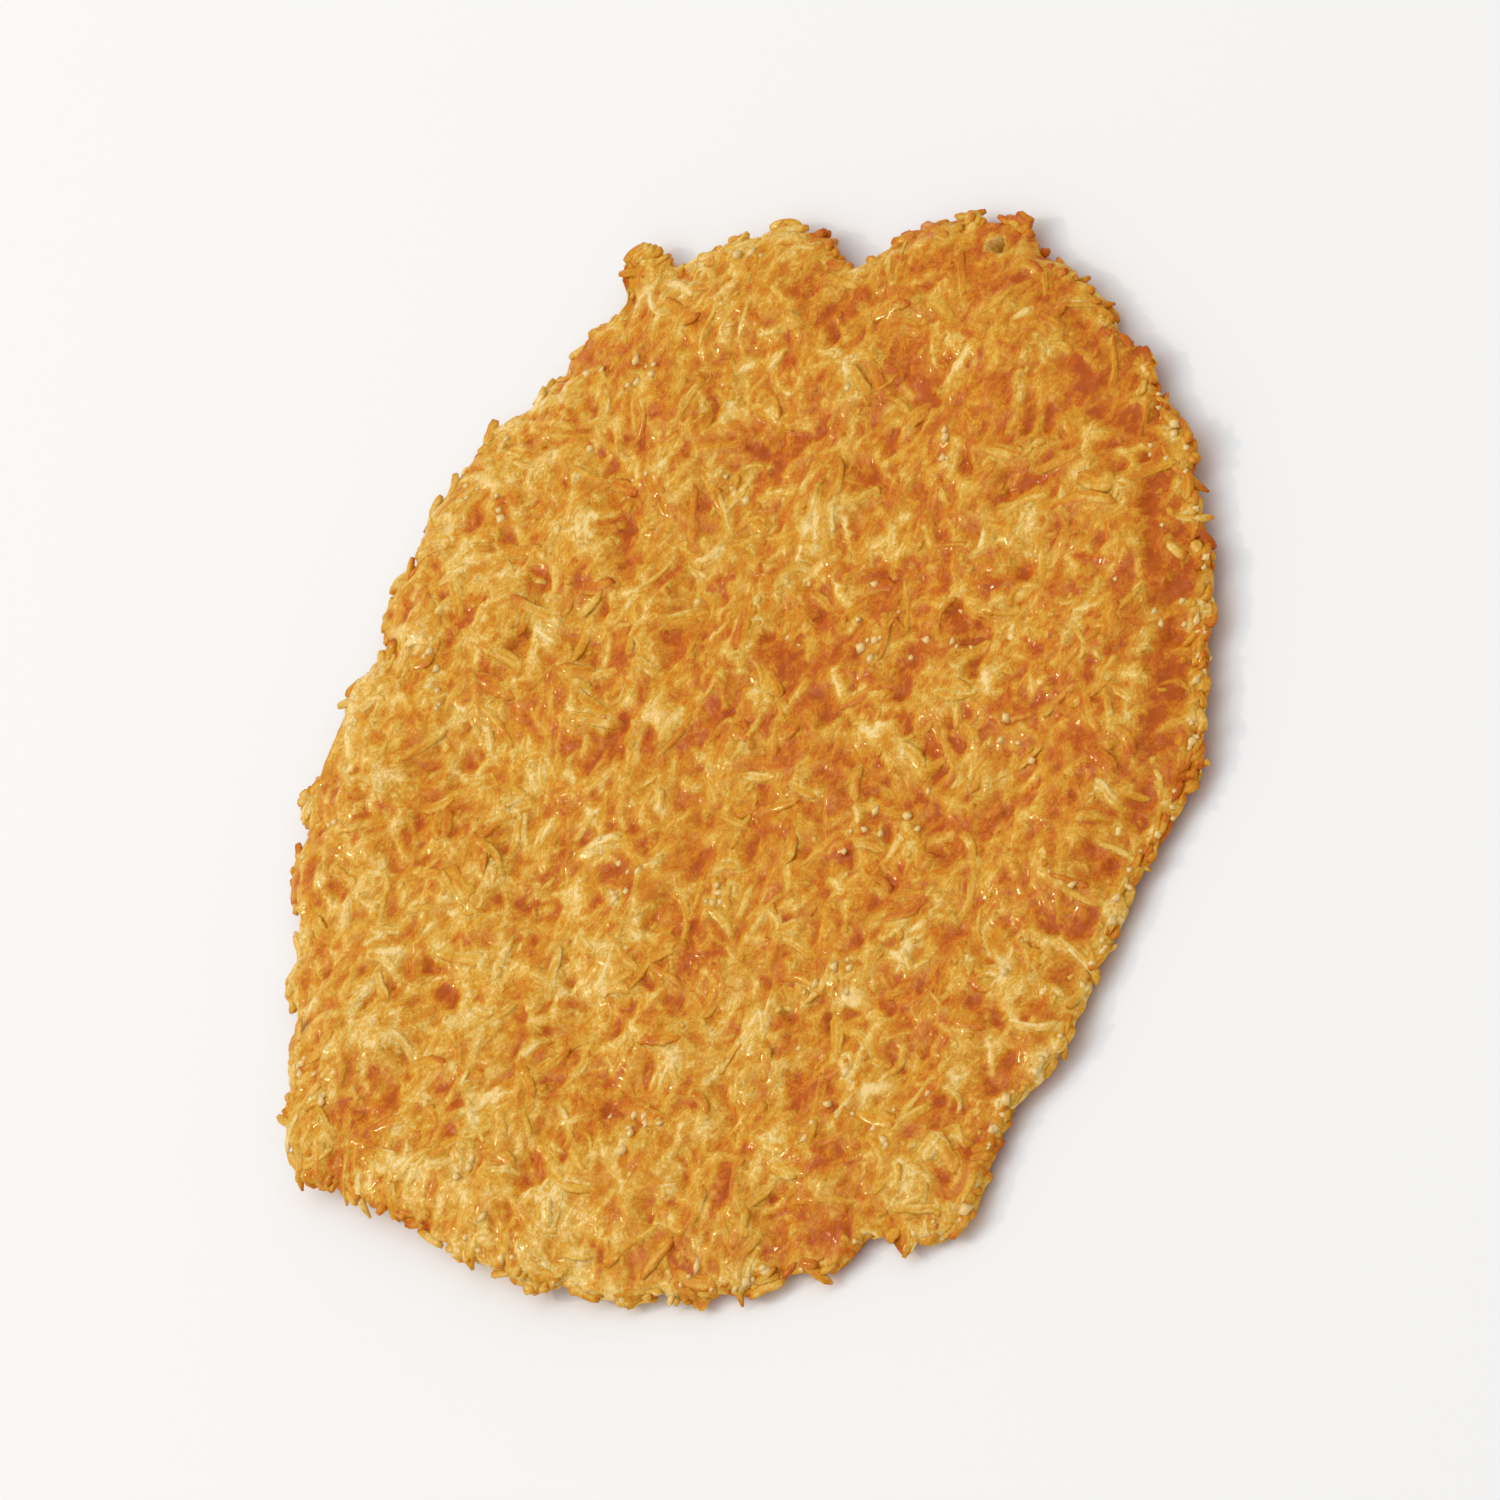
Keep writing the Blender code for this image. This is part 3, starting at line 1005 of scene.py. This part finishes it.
hole_radius = np.interp(HOLE_DIRECTION, compass, edge_radii) - HOLE_INSET
hole = Vector((hole_radius * math.cos(HOLE_DIRECTION), hole_radius * math.sin(HOLE_DIRECTION), 0))
hole.z = read_map(top.pile, np.array([hole.x]), np.array([hole.y]))[0]
plug = bmesh.new()
bmesh.ops.create_cone(
    plug, cap_ends=True, cap_tris=True, segments=PLUG_SIDES, radius1=1, radius2=1, depth=PLUG_LENGTH
)
for point in plug.verts:
    # three lobes, and five smaller ones, make the outline uneven
    turn = math.atan2(point.co.y, point.co.x)
    lumps = 1 + 0.16 * math.sin(3 * turn + 1) + 0.1 * math.sin(5 * turn)
    point.co.x *= HOLE_HALF_SIZES[0] * lumps
    point.co.y = point.co.y * HOLE_HALF_SIZES[1] * lumps + HOLE_SLANT * point.co.z
cutter = bpy.data.objects.new("plug", bpy.data.meshes.new("plug"))
plug.to_mesh(cutter.data)
plug.free()
cutter.location = hole
bpy.context.scene.collection.objects.link(cutter)
print("the hole is from the edge, mm:", round(HOLE_INSET / MM, 1))

# %% Pinhole
boolean = crust.modifiers.new("pinhole", "BOOLEAN")
boolean.operation = "DIFFERENCE"
boolean.solver = "EXACT"
boolean.object = cutter
bpy.context.view_layer.update()
pierced = bpy.data.meshes.new_from_object(crust.evaluated_get(bpy.context.evaluated_depsgraph_get()))
crust.modifiers.clear()
crust.data = pierced
bpy.data.objects.remove(cutter)
print("crust with its pinhole, triangles:", len(pierced.polygons))

# %% [markdown]
# ## The shape of one shred
#
# A shred is a strip with a flat, round-cornered section, which thins towards ragged ends. A curve
# with a bevel could taper, but not raggedly, and it would be one object for each shred. So all
# shreds of a batch are worked out together: a section stands at each station along every centre
# line, and the sections are joined with four-sided faces and closed at both ends.


# %% Shred faces and sections
def swept_faces(count, stations, around):
    """Faces of many strips: the sides of each, and its two ends."""
    first = np.arange(count)[:, None, None] * stations * around
    ring = np.arange(stations - 1)[None, :, None] * around
    now = np.arange(around)[None, None, :]
    after = (now + 1) % around
    here, there = first + ring, first + ring + around
    quads = np.stack([here + now, there + now, there + after, here + after], axis=-1)
    start_caps = first[:, :, 0] + np.arange(around)
    end_caps = first[:, :, 0] + (stations - 1) * around + np.arange(around)[::-1]
    return [quads.reshape(-1, 4), start_caps, end_caps]


def section_axes(lines, rolls):
    """Unit vectors across and up each section, leaned by its roll."""
    t = np.linspace(-1, 1, lines.shape[1])
    tangents = np.gradient(lines, axis=1)
    tangents /= np.linalg.norm(tangents, axis=2, keepdims=True)
    up = np.array([0.0, 0.0, 1.0]) - tangents * tangents[..., 2:3]
    up /= np.linalg.norm(up, axis=2, keepdims=True)
    side = np.cross(tangents, up)
    lean = rolls[:, :1] + rolls[:, 1:2] * t
    cos_lean, sin_lean = np.cos(lean)[..., None], np.sin(lean)[..., None]
    return side * cos_lean + up * sin_lean, up * cos_lean - side * sin_lean


# %% Shred shape
FLATNESS = 2.8  # of the section: 2 is an ellipse, more is squarer
BLUNT = (2.0, 6.0)  # how late an end starts to thin: the more, the later
UNEVEN_WIDTH = 0.07
ROUGHNESS = 0.05
THINNED = 0.35  # of the depth, left where the width is nothing
FIBRES_APART = 500  # how far apart two shreds may lie in the noise of the fibres


def swept(lines, widths, depths, rolls, around, rng, tip_width):
    """Points, faces and numbers of many strips, from centre lines as (strip, station, xyz)."""
    count, stations, _ = lines.shape
    t = np.linspace(-1, 1, stations)
    side, up = section_axes(lines, rolls)
    blunt = rng.uniform(*BLUNT, (count, 2))
    toward_tip = np.where(t < 0, np.abs(t) ** blunt[:, :1], np.abs(t) ** blunt[:, 1:])
    taper = tip_width + (1 - tip_width) * np.sqrt(1 - toward_tip)
    ragged = 1 + rng.normal(0, UNEVEN_WIDTH, (count, stations))
    corner = np.linspace(0, 2 * math.pi, around, endpoint=False)
    out = np.sign(np.cos(corner)) * np.abs(np.cos(corner)) ** (2 / FLATNESS)
    over = np.sign(np.sin(corner)) * np.abs(np.sin(corner)) ** (2 / FLATNESS)
    half_width = (widths[:, None] * taper * ragged / 2)[..., None]
    half_depth = (depths[:, None] * (THINNED + (1 - THINNED) * taper) / 2)[..., None]
    rough = 1 + rng.normal(0, ROUGHNESS, (count, stations, around))
    points = (
        lines[:, :, None, :]
        + side[:, :, None, :] * (half_width * out * rough)[..., None]
        + up[:, :, None, :] * (half_depth * over * rough)[..., None]
    )

    lengths = np.linalg.norm(np.diff(lines, axis=1), axis=2).sum(axis=1)
    shape = (count, stations, around)
    fibre = np.stack(
        [
            np.broadcast_to((t * lengths[:, None] / 2)[..., None], shape) / MM,
            half_width * np.sign(over) * (1 - out) / MM + np.zeros(shape),
            np.broadcast_to(rng.uniform(0, FIBRES_APART, count)[:, None, None], shape),
        ],
        axis=-1,
    )
    numbers = {
        "tip": np.broadcast_to(np.abs(t)[None, :, None], shape).ravel(),
        "fibre": fibre.reshape(-1, 3),
    }
    return points.reshape(-1, 3), swept_faces(count, stations, around), numbers


# %% Shreds as a piece
HOLE_CLEARANCE = 1.1 * MM
LEAN = 0.12  # in radians, to one side
TWIST = 0.18  # in radians, along its length


def make_shreds(name, laid, around, rng, material, tip_width=0.25):
    """One piece of swept shreds, each with its own tone, and none of them over the pinhole."""
    lines, widths, depths, tones = laid
    clear = np.hypot(*(lines[..., :2] - np.array(hole.xy)).T).min(axis=0) > HOLE_CLEARANCE
    lines, widths, depths, tones = lines[clear], widths[clear], depths[clear], tones[clear]
    count, stations, _ = lines.shape
    rolls = np.stack([rng.normal(0, LEAN, count), rng.normal(0, TWIST, count)], axis=1)
    points, faces, numbers = swept(lines, widths, depths, rolls, around, rng, tip_width)
    numbers["tone"] = np.repeat(tones, stations * around)
    return make_piece(name, points, faces, numbers, material)


# %% [markdown]
# ## Shreds that show
#
# The last shreds to be laid aren't only relief in the crust. They are meshes of their own, so that
# they keep crisp edges: some golden, some pale cream where the oven's heat reached them last. Laid
# on top of the glaze they would look strewn on it. The melted sugar climbed up their sides, so they
# are seated in it, and only the backs come out.

# %% Shreds that show
SHOWN = 0.035 * MM  # how far their backs stand out of the glaze
SHRED_CORNERS = 8
GRAIN_CORNERS = 6


def seated(laid):
    """The shreds moved to the height where the glaze has left them."""
    lines, widths, depths, tones = laid
    glaze = read_map(top.pile, lines[..., 0], lines[..., 1])
    even = 0.5 * glaze[:, 1:-1] + 0.25 * (glaze[:, 2:] + glaze[:, :-2])
    heights = np.concatenate([glaze[:, :1], even, glaze[:, -1:]], axis=1)
    heights = np.minimum(heights + SHOWN, cad_high.z - HEADROOM) - depths[:, None] / 2
    return np.concatenate([lines[..., :2], heights[..., None]], axis=2), widths, depths, tones


make_shreds("golden_shreds", seated(golden), SHRED_CORNERS, rng, toasted_shred)
make_shreds("pale_shreds", seated(pale), SHRED_CORNERS, rng, toasted_shred)
make_shreds("golden_grains", seated(grains), GRAIN_CORNERS, rng, toasted_shred)

# %% [markdown]
# ## The ragged rim
#
# At the rim the mat was torn rather than cut. Lumps alone leave it too smooth, so short shreds lie
# along it, nearly in line with the edge, at every height between the underside and the top.

# %% Rim shreds
RIM_SHREDS = 480
RIM_OVERHANG = 0.2 * MM
RIM_STATIONS = 7
RIM_LENGTH_MM = (0.7, 1.3, 2.8)
RIM_WIDTH_MM = (0.35, 0.6, 1.0)
RIM_DEPTH_MM = (0.22, 0.34)
RIM_INSET_MM = (0.15, 0.8)
RIM_HEADING = 0.4  # in radians, how far they stray from the edge's line
RIM_BOW = 0.6
RIM_RISE = 0.08
RIM_TONE = 0.34
RIM_TONE_SPREAD = 0.18

lines, sizes = [], []
for _ in range(RIM_SHREDS):
    turn = rng.uniform(-math.pi, math.pi)
    outwards = np.array([math.cos(turn), math.sin(turn)])
    edge = np.interp(turn, compass, edge_radii)
    length = rng.triangular(*RIM_LENGTH_MM) * MM
    heading = turn + math.pi / 2 + rng.normal(0, RIM_HEADING)
    path = centre_line(heading, length, rng.normal(0, RIM_BOW), 0, RIM_STATIONS)
    path += outwards * (edge - rng.uniform(*RIM_INSET_MM) * MM)
    beyond = (np.hypot(path[:, 0], path[:, 1]) - edge_radius(path[:, 0], path[:, 1])).max()
    path -= outwards * max(0, beyond - RIM_OVERHANG)
    low = read_map(underside, path[:, 0], path[:, 1]).mean()
    high = read_map(top.pile, path[:, 0], path[:, 1]).mean()
    depth = rng.uniform(*RIM_DEPTH_MM) * MM
    height = low + depth / 2 + rng.uniform(0, 1) * max(0, high - low - depth / 2)
    rise = rng.normal(0, RIM_RISE) * np.linspace(-1, 1, RIM_STATIONS) * length
    lines.append(np.column_stack([path, np.maximum(height + rise, cad_low.z + depth / 2)]))
    # the place's toasting, plus painted shade towards one side
    tone = rng.normal(RIM_TONE, RIM_TONE_SPREAD) + toast_and_side_shade(*path.mean(axis=0))
    sizes.append((rng.triangular(*RIM_WIDTH_MM) * MM, depth, np.clip(tone, 0, 1)))
widths, depths, tones = np.array(sizes).T
laid = (np.array(lines), widths, depths, tones)
make_shreds("rim_shreds", laid, SHRED_CORNERS, rng, toasted_shred, tip_width=0.55)

# %% [markdown]
# ## Sugar
#
# Here and there sugar didn't melt, or set again into small crystals that sit in the glaze and
# glint. They come in clusters, and in beads along the near rim. Their pale gold is partly sugar's
# own and partly a painted highlight, and the beads on the near rim are painted glints, where the
# rim catches the light.

# %% Places of the crystals
CLUSTERS = 60
LARGEST_CLUSTER = 5
CLUSTER_SPREAD = 0.8 * MM
# painted glints: pale beads along the near rim, where it catches the light
RIM_GLINT_BEADS = 70
GLINT_BEADED_RIM = (math.radians(-155), math.radians(-25))
GLINT_BEAD_INSET = (0.15 * MM, 0.8 * MM)

spots = []
for _ in range(CLUSTERS):
    cluster = random_spot(rng)
    for _ in range(rng.integers(1, LARGEST_CLUSTER + 1)):
        x, y = rng.normal(cluster, CLUSTER_SPREAD)
        if math.hypot(x, y) < edge_radius(x, y) - CLUSTER_SPREAD / 2:
            spots.append((x, y))
for _ in range(RIM_GLINT_BEADS):
    turn = rng.uniform(*GLINT_BEADED_RIM)
    radius = np.interp(turn, compass, edge_radii) - rng.uniform(*GLINT_BEAD_INSET)
    spots.append((radius * math.cos(turn), radius * math.sin(turn)))
print("crystals:", len(spots))

# %% [markdown]
# ## Sugar crystals
#
# Crystals have flat, glossy faces. Each is an octahedron knocked out of shape and half sunk, which
# is the least that still looks like one. Clear ones look grey at this size, so these are an opaque
# pale gold: partly the colour that clear sugar takes on from the caramel under it, partly a painted
# glint.

# %% Sugar crystals
CRYSTAL_MM = (0.3, 0.45, 0.9)
KNOCKED = (0.7, 1.3)  # how far out a corner is, of the true octahedron's
FLATTENED = 0.6
LONGEST = 1.7  # times as long as wide
CORNERS = np.array([(1, 0, 0), (0, 1, 0), (-1, 0, 0), (0, -1, 0), (0, 0, 1), (0, 0, -1)], float)
SIDES = np.array(
    [(0, 1, 4), (1, 2, 4), (2, 3, 4), (3, 0, 4), (1, 0, 5), (2, 1, 5), (3, 2, 5), (0, 3, 5)]
)

sugar, tree = new_material("sugar_with_painted_glints")
# pale gold, partly sugar's own colour and partly a painted glint
gloss = {"Base Color": linear("#F2CC80"), "Roughness": 0.15, "IOR": 1.56}
shader = add(tree, "BsdfPrincipled", gloss)
add(tree, "OutputMaterial", {"Surface": shader.outputs["BSDF"]})

crystals = []
for x, y in spots:
    size = rng.triangular(*CRYSTAL_MM) * MM / 2
    spin = np.array(Quaternion(rng.normal(size=4)).normalized().to_matrix())
    shape = CORNERS * rng.uniform(*KNOCKED, (len(CORNERS), 1)) * size
    shape[:, 0] *= rng.uniform(1, LONGEST)
    shape = shape @ spin
    shape[:, 2] *= FLATTENED
    glaze = top.pile[cells(np.array([x]), np.array([y]))][0]
    crystals.append(shape + (x, y, min(glaze, cad_high.z - HEADROOM - size)))
firsts = np.arange(len(crystals)) * len(CORNERS)
faces = (firsts[:, None, None] + SIDES).reshape(-1, 3)
make_piece("sugar_crystals", np.concatenate(crystals), [faces], {}, sugar)

# %% [markdown]
# ## Save the sizes and finish
# ## The dressed biscuit's size
#
# The box round the dressed biscuit is measured, as the solid's was at the start. The dressed
# biscuit has to keep to the solid's box.

# %% Sizes and finish
low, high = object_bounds()
